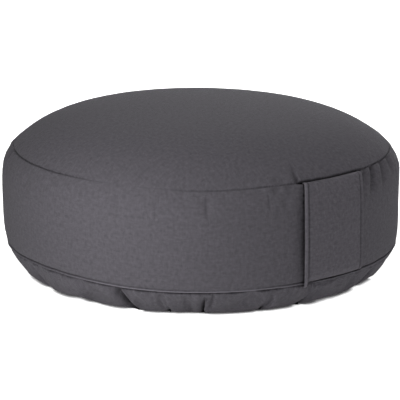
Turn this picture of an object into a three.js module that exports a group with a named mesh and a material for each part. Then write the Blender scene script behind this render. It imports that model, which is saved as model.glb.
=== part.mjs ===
// A round meditation cushion: a filled cover with a domed top panel, a bulging side wall and a gathered underside,
// and a flat carry handle sewn over the side wall. Millimetres, +Z up.
// The origin is the middle of the base, where the cushion lies on the floor, and the handle faces -Y.
// A bearing is an angle round the upright axis in degrees, from the handle at 0 towards +X.
import * as THREE from "three";
import { mergeVertices } from "three/addons/utils/BufferGeometryUtils.js";

// Driving dimensions of the cover
const WIDEST = { radius: 175, height: 70 };
const TOP_SEAM = { radius: 164.6, height: 110.4 };
const BOTTOM_SEAM = { radius: 172.2, height: 25.6 };
const BASE_RADIUS = 148.6;
const DOME_RISE = 35.8;

// How round each stretch of the section is: 1 is straight, and a higher power turns later and more sharply
const UPPER_WALL_POWER = 3.6;
const LOWER_WALL_POWER = 6;
const UNDERSIDE_POWER = 0.51;
const DOME_BOWL_SHARE = 0.39;
const DOME_SHOULDER_POWER = 5.8;

// Sewn lines: a groove at the top seam, and at the bottom seam a turned lip above a groove
const GROOVE_DEPTH = 1.8;
const GROOVE_HALF_WIDTH = 2.6;
const LIP_PROUD = 1.1;
const LIP_HALF_WIDTH = 3.2;

// The carry handle: the bearings of its edges at the bottom seam, half way up and at the top seam, and how it stands
// off the wall
const HANDLE_EDGES = {
  bottom: { left: -8.9, right: 12.3 },
  halfWay: { left: -9.9, right: 10.5 },
  top: { left: -7.5, right: 15.2 },
};
const HANDLE_THICKNESS = 2.2;
const HANDLE_CLEARANCE = 0.4;
const HANDLE_BOW = 2.6;
const HANDLE_BOW_POWER = 0.3;
const HANDLE_COLUMNS = 11;

// The filled cover leans and tilts a little, by these amounts at the top of the dome
const LEAN = { x: -1.9, y: 1.5 };
const TILT = { drop: 1.4, bearing: 52 };

// Slow unevenness round the cover: the bottom seam rides up, the shoulder and the wall swell, and the edge of the
// base draws in
const UNEVENNESS = [
  { bearing: -180, seamLift: 1.0, shoulder: 1.2, wall: -0.6, base: -1.5 },
  { bearing: -135, seamLift: 0.5, shoulder: 0.6, wall: 1.2, base: 1.0 },
  { bearing: -90, seamLift: 2.6, shoulder: -0.2, wall: 0.4, base: -1.0 },
  { bearing: -45, seamLift: -2.2, shoulder: 0.3, wall: 0.0, base: -6.0 },
  { bearing: 0, seamLift: 0.6, shoulder: -0.3, wall: -0.5, base: -5.0 },
  { bearing: 45, seamLift: 0.0, shoulder: 2.4, wall: -0.4, base: 1.0 },
  { bearing: 90, seamLift: 1.4, shoulder: 2.2, wall: 0.3, base: -1.0 },
  { bearing: 135, seamLift: -1.4, shoulder: 0.0, wall: 1.1, base: -2.0 },
];
const BASE_DRAW_POWER = 1.5;
const WALL_SWELL = { height: 52, reach: 48 };
const SHOULDER_SWELL_REACH = 30;

// Gathers of the underside: where each starts at the seam, how far it slants by the floor, its half width in degrees,
// its depth, and the share of the way from the seam to the floor at which it opens
const GATHERS = [
  { bearing: -166, slant: 3, halfWidth: 3.0, depth: 3.5, opens: 0.3 },
  { bearing: -150, slant: -2, halfWidth: 2.4, depth: 5.0, opens: 0.2 },
  { bearing: -131, slant: 1, halfWidth: 3.4, depth: 2.6, opens: 0.4 },
  { bearing: -117, slant: 4, halfWidth: 2.6, depth: 5.6, opens: 0.0 },
  { bearing: -97, slant: 0, halfWidth: 2.8, depth: 3.0, opens: 0.3 },
  { bearing: -79, slant: 0, halfWidth: 2.4, depth: 2.4, opens: 0.1 },
  { bearing: -64, slant: 4, halfWidth: 2.6, depth: 7.0, opens: 0.0 },
  { bearing: -48, slant: 0, halfWidth: 2.2, depth: 2.6, opens: 0.4 },
  { bearing: -38, slant: 1, halfWidth: 2.2, depth: 5.0, opens: 0.3 },
  { bearing: -20, slant: 0, halfWidth: 2.2, depth: 5.0, opens: 0.3 },
  { bearing: -7, slant: 1, halfWidth: 2.6, depth: 5.0, opens: 0.3 },
  { bearing: 22, slant: 1, halfWidth: 2.6, depth: 3.4, opens: 0.2 },
  { bearing: 36, slant: -3, halfWidth: 2.6, depth: 4.6, opens: 0.1 },
  { bearing: 53, slant: 2, halfWidth: 3.2, depth: 3.0, opens: 0.4 },
  { bearing: 66, slant: 0, halfWidth: 2.2, depth: 5.2, opens: 0.3 },
  { bearing: 85, slant: -4, halfWidth: 2.8, depth: 5.8, opens: 0.0 },
  { bearing: 101, slant: 1, halfWidth: 2.4, depth: 2.6, opens: 0.4 },
  { bearing: 114, slant: 0, halfWidth: 3.0, depth: 4.2, opens: 0.2 },
  { bearing: 133, slant: 3, halfWidth: 2.4, depth: 5.0, opens: 0.1 },
  { bearing: 149, slant: -1, halfWidth: 3.0, depth: 2.8, opens: 0.4 },
  { bearing: 162, slant: 2, halfWidth: 2.4, depth: 4.8, opens: 0.2 },
  { bearing: 177, slant: 0, halfWidth: 2.6, depth: 3.4, opens: 0.3 },
];

// Puckers that hang from the top seam, and one crease that climbs the dome beside the handle
const WALL_PUCKERS = [
  { bearing: 19, halfWidth: 1.6, depth: 1.4, reach: 22 },
  { bearing: 23, halfWidth: 1.6, depth: 1.8, reach: 28 },
  { bearing: 28, halfWidth: 1.6, depth: 1.5, reach: 24 },
  { bearing: 34, halfWidth: 1.7, depth: 1.1, reach: 20 },
  { bearing: 156, halfWidth: 1.8, depth: 1.2, reach: 24 },
  { bearing: 162, halfWidth: 1.7, depth: 1.5, reach: 30 },
  { bearing: -118, halfWidth: 1.8, depth: 1.3, reach: 27 },
];
const DOME_CREASES = [
  { bearing: -11, halfWidth: 1.8, depth: 1.6, reach: 20 },
  { bearing: 139, halfWidth: 2.0, depth: 1.2, reach: 24 },
];

// Each fold is a trough with a low swell on either side, in shares of its depth and half width
const FOLD_SWELL = { height: 0.22, distance: 2, halfWidth: 0.9 };
const GATHER_FULL_SHARE = 0.9;
const PUCKER_START = 4;
const PUCKER_FULL_SHARE = 0.3;
// The dome's relief stands along its slope at the seam
const DOME_SLOPE = { out: 0.6, up: 0.8 };

const COVER_COLOUR = 0x57555a;
const HANDLE_COLOUR = 0x4f4d52;

// How finely the section and the round are divided
const BEARING_STEP = 2;
const SEAM_OFFSETS = [0, 2, 6];
const WALL_ROWS = 5;
const DOME_ROWS = 6;
const UNDERSIDE_HEIGHT_SHARES = [0, 0.06, 0.24, 0.5];

const TOP_HEIGHT = TOP_SEAM.height + DOME_RISE;
const WALL_HEIGHT = TOP_SEAM.height - BOTTOM_SEAM.height;
const bell = (x) => Math.exp(-x * x);
const radians = THREE.MathUtils.degToRad;
const smoothstep = THREE.MathUtils.smoothstep;

// The angle from one bearing to another, between -180 and 180
const turn = (from, to) => THREE.MathUtils.euclideanModulo(to - from + 180, 360) - 180;

// The section of the plain cover

function wallRadius(height) {
  if (height >= WIDEST.height) {
    const up = (height - WIDEST.height) / (TOP_SEAM.height - WIDEST.height);
    return WIDEST.radius + (TOP_SEAM.radius - WIDEST.radius) * up ** UPPER_WALL_POWER;
  }
  const down = (WIDEST.height - height) / (WIDEST.height - BOTTOM_SEAM.height);
  return WIDEST.radius + (BOTTOM_SEAM.radius - WIDEST.radius) * down ** LOWER_WALL_POWER;
}

function undersideRadius(height) {
  return BASE_RADIUS + (BOTTOM_SEAM.radius - BASE_RADIUS) * (height / BOTTOM_SEAM.height) ** UNDERSIDE_POWER;
}

function domeHeight(radius) {
  const out = radius / TOP_SEAM.radius;
  const fall = DOME_BOWL_SHARE * out ** 2 + (1 - DOME_BOWL_SHARE) * out ** DOME_SHOULDER_POWER;
  return TOP_SEAM.height + DOME_RISE * (1 - fall);
}

// Stations of the section from the floor up, each with the zone of the cover that it lies in

function undersideStations() {
  const low = UNDERSIDE_HEIGHT_SHARES.map((share) => share * BOTTOM_SEAM.height);
  const nearSeam = SEAM_OFFSETS.slice(1).reverse().map((offset) => BOTTOM_SEAM.height - offset);
  return [...low, ...nearSeam].map((height) => ({ zone: "underside", radius: undersideRadius(height), height }));
}

function wallStations() {
  const low = SEAM_OFFSETS.map((offset) => BOTTOM_SEAM.height + offset);
  const high = SEAM_OFFSETS.map((offset) => TOP_SEAM.height - offset).reverse();
  const between = Array.from({ length: WALL_ROWS }, (_, row) =>
    THREE.MathUtils.lerp(low.at(-1), high[0], (row + 1) / (WALL_ROWS + 1)));
  return [...low, ...between, ...high].map((height) => ({ zone: "wall", radius: wallRadius(height), height }));
}

function domeStations() {
  const nearSeam = SEAM_OFFSETS.slice(1).map((offset) => TOP_SEAM.radius - offset);
  const inner = Array.from({ length: DOME_ROWS }, (_, row) => nearSeam.at(-1) * Math.sqrt(1 - (row + 1) / DOME_ROWS));
  return [...nearSeam, ...inner].map((radius) => ({ zone: "dome", radius, height: domeHeight(radius) }));
}

// The uneven cover

// A column of the unevenness table at a bearing, blended between its rows
function uneven(column, bearing) {
  const step = 360 / UNEVENNESS.length;
  const place = THREE.MathUtils.euclideanModulo(bearing - UNEVENNESS[0].bearing, 360) / step;
  const row = Math.floor(place);
  const from = UNEVENNESS[row % UNEVENNESS.length][column];
  const to = UNEVENNESS[(row + 1) % UNEVENNESS.length][column];
  return THREE.MathUtils.lerp(from, to, smoothstep(place - row, 0, 1));
}

// Relief of the two seams at a distance from the seam line: up the section is positive
const topSeamRelief = (distance) => -GROOVE_DEPTH * bell(distance / GROOVE_HALF_WIDTH);
function bottomSeamRelief(distance) {
  const lip = LIP_PROUD * bell((distance - SEAM_OFFSETS[1]) / LIP_HALF_WIDTH);
  const groove = GROOVE_DEPTH * bell((distance + SEAM_OFFSETS[1]) / GROOVE_HALF_WIDTH);
  return lip - groove;
}

// A fold's section across the bearings
function foldSection(bearing, fold, centre) {
  const across = turn(centre, bearing) / fold.halfWidth;
  const swell = FOLD_SWELL.height * bell((Math.abs(across) - FOLD_SWELL.distance) / FOLD_SWELL.halfWidth);
  return fold.depth * (swell - bell(across));
}

function gathers(height, bearing) {
  const down = 1 - height / BOTTOM_SEAM.height;
  return GATHERS.reduce((sum, fold) => {
    const growth = smoothstep(down, fold.opens, GATHER_FULL_SHARE);
    return sum + growth * foldSection(bearing, fold, fold.bearing + fold.slant * down);
  }, 0);
}

function puckers(folds, fromSeam, bearing) {
  return folds.reduce((sum, fold) => {
    const fade = 1 - smoothstep(fromSeam, PUCKER_FULL_SHARE * fold.reach, fold.reach);
    return sum + smoothstep(fromSeam, 0, PUCKER_START) * fade * foldSection(bearing, fold, fold.bearing);
  }, 0);
}

// How far the cover stands out along its radius and up at a station and bearing
function relief(station, bearing) {
  const { zone, radius, height } = station;
  const swell =
    uneven("wall", bearing) * bell((height - WALL_SWELL.height) / WALL_SWELL.reach) +
    uneven("shoulder", bearing) * bell((height - TOP_SEAM.height) / SHOULDER_SWELL_REACH);
  if (zone === "underside") {
    const folds = bottomSeamRelief(height - BOTTOM_SEAM.height) + gathers(height, bearing);
    const share = height / BOTTOM_SEAM.height;
    const base = uneven("base", bearing) * (1 - share) ** BASE_DRAW_POWER;
    return { out: folds + base + swell * share, up: 0 };
  }
  if (zone === "wall") {
    const fromSeam = TOP_SEAM.height - height;
    const sewn = bottomSeamRelief(height - BOTTOM_SEAM.height) + topSeamRelief(fromSeam);
    return { out: swell + sewn + puckers(WALL_PUCKERS, fromSeam, bearing), up: 0 };
  }
  const fromSeam = TOP_SEAM.radius - radius;
  const sewn = topSeamRelief(fromSeam) + puckers(DOME_CREASES, fromSeam, bearing);
  const outShare = radius / TOP_SEAM.radius;
  return { out: (swell + DOME_SLOPE.out * sewn) * outShare, up: DOME_SLOPE.up * sewn };
}

// The bottom seam's lift fades out towards the floor and towards the top seam
function seamLift(height, bearing) {
  if (height <= BOTTOM_SEAM.height) return (uneven("seamLift", bearing) * height) / BOTTOM_SEAM.height;
  return uneven("seamLift", bearing) * Math.max(0, 1 - (height - BOTTOM_SEAM.height) / WALL_HEIGHT);
}

// A point of the cover at a station and bearing, standing off the cloth by a further distance
function coverPoint(station, bearing, standOff = 0) {
  const { out, up } = relief(station, bearing);
  const radius = station.radius === 0 ? 0 : station.radius + out + standOff;
  const share = station.height / TOP_HEIGHT;
  const downhill = (radius / WIDEST.radius) * Math.cos(radians(bearing - TILT.bearing));
  return new THREE.Vector3(
    radius * Math.sin(radians(bearing)) + LEAN.x * share,
    -radius * Math.cos(radians(bearing)) + LEAN.y * share,
    station.height + up + seamLift(station.height, bearing) - TILT.drop * share * downhill,
  );
}

// Sub-parts

function coverGeometry() {
  const middleOfBase = { zone: "underside", radius: 0, height: 0 };
  const stations = [middleOfBase, ...undersideStations(), ...wallStations(), ...domeStations()];
  const section = stations.map(({ radius, height }) => new THREE.Vector2(radius, height));
  const rounds = 360 / BEARING_STEP;
  const lathe = new THREE.LatheGeometry(section, rounds);
  const position = lathe.getAttribute("position");
  for (let round = 0; round <= rounds; round += 1) {
    const bearing = (round % rounds) * BEARING_STEP;
    stations.forEach((station, index) => {
      const point = coverPoint(station, bearing);
      position.setXYZ(round * stations.length + index, point.x, point.y, point.z);
    });
  }
  return closed(lathe);
}

// The bearing of an edge of the handle, on a parabola through its three bearings
function handleEdge(side, share) {
  const { bottom, halfWay, top } = HANDLE_EDGES;
  const atBottom = 2 * (share - 0.5) * (share - 1);
  const atHalfWay = 4 * share * (1 - share);
  const atTop = 2 * share * (share - 0.5);
  return bottom[side] * atBottom + halfWay[side] * atHalfWay + top[side] * atTop;
}

// The handle follows the wall from seam to seam, sewn close at both ends and bowed off the wall between them
function handleGeometry() {
  const stations = wallStations();
  const rows = stations.length - 1;
  const strap = new THREE.BoxGeometry(1, rows, 1, HANDLE_COLUMNS, rows, 1);
  const position = strap.getAttribute("position");
  for (let index = 0; index < position.count; index += 1) {
    const station = stations[Math.round(position.getY(index) + rows / 2)];
    const share = (station.height - BOTTOM_SEAM.height) / WALL_HEIGHT;
    const across = position.getX(index) + 0.5;
    const bearing = THREE.MathUtils.lerp(handleEdge("left", share), handleEdge("right", share), across);
    const isOuter = position.getZ(index) > 0;
    const bow = HANDLE_BOW * Math.max(0, Math.sin(Math.PI * share)) ** HANDLE_BOW_POWER;
    const standOff = HANDLE_CLEARANCE + bow + (isOuter ? HANDLE_THICKNESS : 0);
    const point = coverPoint(station, bearing, standOff);
    position.setXYZ(index, point.x, point.y, point.z);
  }
  return closed(strap);
}

// Joins the vertices along a geometry's seams, so that it is one closed surface
function closed(geometry) {
  geometry.deleteAttribute("normal");
  geometry.deleteAttribute("uv");
  const joined = mergeVertices(geometry);
  joined.computeVertexNormals();
  return joined;
}

function piece(name, geometry, colour) {
  const material = new THREE.MeshStandardMaterial({ color: colour, roughness: 0.95, metalness: 0 });
  const mesh = new THREE.Mesh(geometry, material);
  mesh.name = name;
  return mesh;
}

const yogaCushion = new THREE.Group();
yogaCushion.add(piece("cushion", coverGeometry(), COVER_COLOUR));
yogaCushion.add(piece("handle", handleGeometry(), HANDLE_COLOUR));

export default yogaCushion;
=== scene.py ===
"""A round meditation cushion in charcoal canvas, with a carry strap sewn over its side band.

The cover is wrapped round its section and filled by a cloth simulation, and then gets its seams, gathers
and creases. A bearing is an angle round the upright axis in degrees, from the strap at 0 towards +X. Along is
the distance up the cover's section from the bottom seam. Sizes are in metres.
"""

import math
from collections import namedtuple

import bmesh
import bpy
import numpy as np
from mathutils import Matrix, Vector, noise


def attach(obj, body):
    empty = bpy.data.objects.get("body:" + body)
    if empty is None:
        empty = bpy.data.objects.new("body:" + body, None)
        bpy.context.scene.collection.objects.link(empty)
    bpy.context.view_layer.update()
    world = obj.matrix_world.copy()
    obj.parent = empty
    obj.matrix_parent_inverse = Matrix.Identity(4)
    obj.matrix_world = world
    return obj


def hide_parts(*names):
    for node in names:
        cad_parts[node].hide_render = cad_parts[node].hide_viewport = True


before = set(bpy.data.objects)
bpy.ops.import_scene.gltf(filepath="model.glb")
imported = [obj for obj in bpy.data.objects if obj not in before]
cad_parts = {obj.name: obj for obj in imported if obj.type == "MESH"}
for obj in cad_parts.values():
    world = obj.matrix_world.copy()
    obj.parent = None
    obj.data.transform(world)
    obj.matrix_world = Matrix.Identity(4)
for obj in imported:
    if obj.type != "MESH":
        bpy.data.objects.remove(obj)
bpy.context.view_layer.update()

MM = 0.001

# Section of the cover
WIDEST_RADIUS, WIDEST_HEIGHT = 0.175, 0.070
TOP_SEAM_RADIUS, TOP_SEAM_HEIGHT = 0.1646, 0.1104
BOTTOM_SEAM_RADIUS, BOTTOM_SEAM_HEIGHT = 0.1722, 0.0256
BASE_RADIUS = 0.1486
DOME_RISE = 0.0358
TOP_HEIGHT = TOP_SEAM_HEIGHT + DOME_RISE
WALL_HEIGHT = TOP_SEAM_HEIGHT - BOTTOM_SEAM_HEIGHT
UPPER_WALL_POWER = 3.6
LOWER_WALL_POWER = 6
UNDERSIDE_POWER = 0.51
DOME_BOWL_SHARE = 0.39
DOME_SHOULDER_POWER = 5.8

# The filled cover leans and tilts a little, by these amounts at its top
LEAN_X, LEAN_Y = -1.9 * MM, 1.5 * MM
TILT_DROP, TILT_BEARING = 1.4 * MM, 52

# Columns and rows of the cover before its one subdivision. The columns lie closer together at the deep
# gathers, and the rows beside the seams.
COLUMNS = 320
COLUMN_CROWDING, CROWDING_REACH = 0.35, 2.2
BEARING_SAMPLES = 3601
SEAM_ROW_OFFSETS = np.array([0, 0.5, 1.0, 1.5, 2.2, 3.4, 5.4]) * MM
BASE_ROWS, UNDERSIDE_ROWS, WALL_ROWS, DOME_ROWS = 5, 13, 14, 18
BASE_ROW_POWER, DOME_ROW_POWER = 0.6, 1.35
WELD_DISTANCE = 0.01 * MM

# Slow unevenness round the cover, in millimetres: the bottom seam rides up, the shoulder and the wall swell,
# and the edge of the base draws in
Uneven = namedtuple("Uneven", "bearing seam_lift shoulder wall base")
UNEVENNESS = [
    Uneven(-180, 1.0, 1.2, -0.6, -1.5),
    Uneven(-135, 0.5, 0.6, 1.2, -0.5),
    Uneven(-90, 2.6, -0.2, 0.4, -2.0),
    Uneven(-45, -0.4, 0.3, 0.0, -6.0),
    Uneven(0, 0.6, -0.3, -0.5, -5.0),
    Uneven(45, 0.0, 2.4, -0.4, -1.8),
    Uneven(90, 1.4, 2.2, 0.3, -1.0),
    Uneven(135, -1.4, 0.0, 1.1, -2.0),
]
BASE_DRAW_POWER = 1.5
# The top seam sags at one bearing
TOP_SEAM_SAG, TOP_SAG_BEARING, TOP_SAG_REACH = 2.2 * MM, -36, 15
WALL_SWELL_HEIGHT, WALL_SWELL_REACH = 52 * MM, 48 * MM
SHOULDER_SWELL_REACH = 30 * MM

# The sewn lines round the cover: how deep the top seam's groove and the grooves above and below the turned
# edge at the bottom seam draw in, in millimetres, and how much paler that edge is, partly from wear and
# partly as a painted highlight
SeamDepth = namedtuple("SeamDepth", "bearing top above below worn")
SEAM_DEPTHS = [
    SeamDepth(-180, 0.9, 0.7, 0.9, 0.6),
    SeamDepth(-150, 1.2, 1.0, 0.6, 0.5),
    SeamDepth(-120, 1.2, 1.6, 0.5, 0.4),
    SeamDepth(-90, 1.4, 2.2, 2.0, 0.4),
    SeamDepth(-60, 0.1, 0.8, 3.0, 1.1),
    SeamDepth(-30, 0.8, 0.2, 3.0, 1.3),
    SeamDepth(0, 1.0, 1.6, 0.6, 0.9),
    SeamDepth(30, 1.4, 1.7, 0.4, 0.6),
    SeamDepth(60, 1.3, 1.3, 0.8, 0.5),
    SeamDepth(90, 1.0, 0.8, 1.1, 0.7),
    SeamDepth(120, 1.2, 0.6, 1.2, 0.8),
    SeamDepth(150, 1.1, 1.1, 0.7, 0.6),
]
TOP_GROOVE_HALF_WIDTH = 0.75 * MM
EDGE_PROUD, EDGE_HALF_WIDTH = 0.8 * MM, 0.45 * MM
EDGE_GROOVE_OFFSET, EDGE_GROOVE_HALF_WIDTH = 1.35 * MM, 0.55 * MM
UNDER_GROOVE_OFFSET, UNDER_GROOVE_HALF_WIDTH = 1.9 * MM, 0.75 * MM
# Where the strap's ends are sewn in, the seams draw in deeper
SEWN_IN_LEFT, SEWN_IN_RIGHT, SEWN_IN_FADE = -8, 15, 2.2
SEWN_IN_TOP, SEWN_IN_TOP_HALF_WIDTH, SEWN_IN_ABOVE = 3.2 * MM, 1.2 * MM, 1.6 * MM

# Gathers of the underside: the cloth rolls over into each one on its gentle side and comes out of it steeply,
# over a low lip that leans over the gather. Bearing is at the seam, and slant is how far it has turned by the
# floor. Widths, slant and lean are in degrees, and depths in millimetres. A negative steep side lies to the
# left, and a negative depth is a swell. A gather opens and closes at shares of the way down.
Gather = namedtuple("Gather", "bearing slant gentle steep depth lip lean opens closes")
GATHERS = [
    Gather(-166, 3, 5.0, 1.2, 6, 0.1, 0.5, 0.3, 2),
    Gather(-150, -2, 4.0, -0.6, 9, 0.1, 1.0, 0.1, 2),
    Gather(-131, 1, 3.4, 2.6, 3, 0.1, 0.0, 0.4, 2),
    Gather(-117, 4, 4.4, 0.6, 12, 0.1, 1.4, -0.4, 2),
    Gather(-97, 0, 3.0, 2.4, 3, 0.1, 0.0, 0.3, 2),
    Gather(-77, 0, 4.0, 4.0, 1.6, 0.0, 0.0, 0.4, 2),
    Gather(-61.8, 4.8, 5.6, 0.5, 16, 0.06, 0.2, -0.35, 2),
    Gather(-49.4, 0, 2.2, 0.7, 9, 0.0, 0.2, 0.7, 2),
    Gather(-42.6, 0, 2.0, 2.0, 2.2, 0.0, 0.0, 0.0, 1.2),
    Gather(-37.6, 0.2, 2.4, 0.5, 10, 0.1, 0.8, 0.1, 2),
    Gather(-35.4, 0, 1.3, 1.3, 4.4, 0.1, 0.0, -0.2, 0.8),
    Gather(-19.2, 0, 1.8, 0.6, 6, 0.0, 0.4, 0.6, 2),
    Gather(-17.4, 0, 1.4, 2.6, -5.0, 0.0, 0.0, -0.4, 2),
    Gather(-6.4, 1.0, 2.6, 0.8, 8, 0.1, 0.3, 0.35, 2),
    Gather(-3.0, 0, 2.4, 7.0, -2.6, 0.0, 0.0, 0.2, 2),
    Gather(22, 1, 3.0, 1.2, 5, 0.1, 0.5, 0.3, 2),
    Gather(36, -3, 4.0, -0.6, 9, 0.1, 1.0, 0.0, 2),
    Gather(53, 2, 3.4, 3.0, 3, 0.1, 0.0, 0.4, 2),
    Gather(66, 0, 3.0, 0.6, 9, 0.1, 0.8, 0.3, 2),
    Gather(85, -4, 4.4, -0.6, 12, 0.1, 1.4, -0.4, 2),
    Gather(101, 1, 2.4, 2.4, 3, 0.1, 0.0, 0.4, 2),
    Gather(114, 0, 4.0, 0.9, 7, 0.1, 0.6, 0.2, 2),
    Gather(133, 3, 4.6, 0.6, 10, 0.1, 1.0, 0.0, 2),
    Gather(149, -1, 3.0, 2.6, 3, 0.1, 0.0, 0.4, 2),
    Gather(162, 2, 4.0, -0.7, 8, 0.1, 0.8, 0.2, 2),
    Gather(177, 0, 2.6, 2.6, 3, 0.1, 0.0, 0.3, 2),
]
GATHER_FULL_SHARE, GATHER_CLOSING_SHARE = 0.9, 0.5
GATHER_FLOOR_RISE, GATHER_BASE_FADE = 6 * MM, 5 * MM
GATHER_SHELF, GATHER_SHELF_REACH, GATHER_SHELF_DEPTH = 5 * MM, 3.5 * MM, 8 * MM
GATHER_SEAM_START = 2.5 * MM
GATHER_SLANT_REACH = 9
GATHER_ROLL_FULLNESS, GATHER_ROLL_FALL = 0.96, 0.8
LIP_START_SHARE, LIP_FADE_WIDTHS = 0.2, 2

# Puckers under the top seam, and creases that climb the dome from it: half width and drift in degrees, depth
# and reach in millimetres. The cloth swells a little on both sides of each.
Pucker = namedtuple("Pucker", "bearing half_width depth reach drift")
PUCKER_START, PUCKER_FADE_SHARE = 1.2 * MM, 0.25
PUCKER_SWELL, PUCKER_SWELL_PLACE, PUCKER_SWELL_HALF_WIDTH = 0.35, 1.9, 0.8
WALL_PUCKERS = [
    Pucker(18.1, 1.0, 2.8, 18, -4.8),
    Pucker(22.1, 1.4, 3.6, 30, -6.2),
    Pucker(29.1, 1.4, 3.0, 26, -5.8),
    Pucker(35.4, 1.5, 1.8, 20, -3.2),
    Pucker(-10.6, 0.8, 1.0, 9, 0.2),
    Pucker(-12.8, 0.9, 1.2, 11, 0.2),
    Pucker(-16.5, 1.4, 0.8, 12, -0.6),
    Pucker(156, 1.4, 1.6, 24, -0.5),
    Pucker(162, 1.3, 2.0, 28, 0.5),
    Pucker(-118, 1.4, 1.6, 25, 0.8),
]
DOME_CREASES = [
    Pucker(-9.5, 0.65, 2.3, 24, 1.2),
    Pucker(-15.2, 1.4, 0.6, 14, -0.5),
    Pucker(139, 1.4, 1.6, 24, 0.8),
]

# Small unevenness of the cloth, deeper beside the seams
RIPPLES_PER_METRE = 70
RIPPLE_DEPTH, RIPPLE_SEAM_DEPTH, RIPPLE_SEAM_REACH = 0.12 * MM, 0.35 * MM, 9 * MM

# The filling's press on the cloth in the simulation, and how far it may push
FILLING_PRESSURE = 4
FILLING_FRAMES = 20
FILLING_REACH = 6 * MM
CREASED_BEFORE_FILLING = 0.6
CLOTH_STEPS, CLOTH_MASS = 5, 0.02
STRETCH_STIFFNESS, SHEAR_STIFFNESS, BENDING_STIFFNESS = 18, 6, 2
# What holds the cloth, and the spare length of the loose cloth on the underside and the top of the side band
FLOOR_HOLD_REACH = 12 * MM
SEWN_HALF_WIDTH, SEWN_ROW_REACH = 0.5 * MM, 3 * MM
SPARE_CLOTH = 0.04
LOOSE_BASE_REACH, LOOSE_SEAM_REACH = 10 * MM, 3 * MM
LOOSE_BAND, LOOSE_BAND_DROP, LOOSE_BAND_HALF_WIDTH = 0.4, 14 * MM, 12 * MM
TOP_PANEL_GIVE, TOP_PANEL_EDGE = 0.15, 18 * MM
FLOOR_EDGE_INSET, FLOOR_EDGE_REACH = 2 * MM, 10 * MM

# The carry strap: the bearings of its two edges where the wall is widest, and how many degrees they turn for
# each millimetre that the wall draws in towards the seams, so that they look straight
StrapEdge = namedtuple("StrapEdge", "bearing turn")
STRAP_LEFT, STRAP_RIGHT = StrapEdge(-10.2, 0.24), StrapEdge(10.9, 0.40)
STRAP_WIDTH = 0.064
STRAP_THICKNESS = 2.0 * MM
STRAP_CLEARANCE = 0.4 * MM
STRAP_BOW, STRAP_BOW_POWER, STRAP_BOW_TWIST = 2.6 * MM, 0.28, 0.35
STRAP_BOTTOM_GAP, STRAP_TOP_GAP = 2.8 * MM, 0.3 * MM
STRAP_END_SQUEEZE, STRAP_END_REACH = 0.4, 6 * MM
STRAP_TUCK, STRAP_TUCK_REACH = 2.2 * MM, 3.5 * MM
STRAP_AROUND, STRAP_ROWS = 220, 72
STRAP_FACE_START = -0.2
RIM_WIDTH, RIM_PROUD = 2.6 * MM, 0.55 * MM
RIM_STEP_START, RIM_STEP_END = 0.75 * RIM_WIDTH, 1.15 * RIM_WIDTH
# Where the painted highlight lies on the strap's left rim
RIM_HIGHLIGHT_INSET, RIM_HIGHLIGHT_HALF_WIDTH = 1.2 * MM, 0.9 * MM
STITCH_INSET, STITCH_SINK, STITCH_GROOVE_HALF_WIDTH = 3.5 * MM, 0.6 * MM, 0.55 * MM
STITCH_PITCH, STITCH_LENGTH, STITCH_RADIUS = 3.2 * MM, 2.5 * MM, 0.22 * MM
RIM_TIP_DROP, RIM_TIP_POWER = 5.6 * MM, 8
RIM_TIP_START, RIM_TIP_END = 0.6 * STITCH_INSET, 1.1 * STITCH_INSET

# Cloth colours, the canvas threads, and how matt they are
COVER_COLOUR = (0.0900, 0.0845, 0.0965, 1)
STRAP_COLOUR = (0.1020, 0.0952, 0.1090, 1)
THREAD_COLOUR = (0.060, 0.057, 0.064, 1)
THREAD_PITCH = 0.8 * MM
WEAVE_DEPTH, WEAVE_STRENGTH = 0.25 * MM, 0.6
THREAD_BOW, STREAK_HEIGHT = 0.45, 0.6
YARN_WIDTH, YARN_STREAK, YARN_GRAIN = 1.6 * MM, 5 * MM, 0.6
MOTTLE_SIZE = 3 * MM
# How much painted shade darkens the weave where it lies low between the threads
CANVAS_SHADE, CANVAS_BACK_SHADE = 0.8, 0.4
CANVAS_ROUGHNESS, CANVAS_BACK_POLISH = 0.98, 0.12
CANVAS_SPECULAR, CANVAS_NAP, CANVAS_NAP_ROUGHNESS = 0.12, 0.04, 0.5
STRAND_PITCH, STRAND_SHADE = 0.3 * MM, 0.7
THREAD_ROUGHNESS, THREAD_SPECULAR = 0.6, 0.3

# Where the cloth is paler, from wear and painted highlights, and where painted shade makes it darker
RIM_HIGHLIGHT, STITCH_PAINTED_SHADE = 0.2, 0.4
GATHER_PAINTED_SHADE, DARK_GATHER_DEPTH, GATHER_SHADE_POWER = 0.96, 6 * MM, 1.5
SWELL_HIGHLIGHT, HIGHLIT_SWELL_HEIGHT, SWELL_HIGHLIGHT_POWER = 0.3, 5 * MM, 2
SEAM_PAINTED_SHADE, DARK_SEAM_DEPTH = 0.8, 3 * MM
PUCKER_PAINTED_SHADE, DARK_PUCKER_DEPTH = 0.4, 3 * MM
SLIT_PAINTED_SHADE, SLIT_EDGE = 0.8, 0.5


def smooth(low, high, value):
    share = np.clip((value - low) / (high - low), 0, 1)
    return share * share * (3 - 2 * share)


def bell(value):
    return np.exp(-value * value)


def turn(start, end):
    """The angle from one bearing to another, between -180 and 180."""
    return (end - start + 180) % 360 - 180


def round_the_cover(table, column, bearing):
    """A column of a table of evenly spaced bearings, blended smoothly between its rows."""
    values = np.array([getattr(row, column) for row in table])
    place = ((bearing - table[0].bearing) % 360) / (360 / len(table))
    row = np.floor(place).astype(int)
    start, end = values[row % len(table)], values[(row + 1) % len(table)]
    return start + (end - start) * smooth(0, 1, place - row)


def linked(name, data):
    """A new object in the scene for a mesh, a camera or a light."""
    made = bpy.data.objects.new(name, data)
    bpy.context.scene.collection.objects.link(made)
    return made


def piece_from(name, form):
    """A new object in the scene whose mesh is a finished form."""
    mesh = bpy.data.meshes.new(name)
    form.to_mesh(mesh)
    form.free()
    return linked(name, mesh)


# Section

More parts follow.
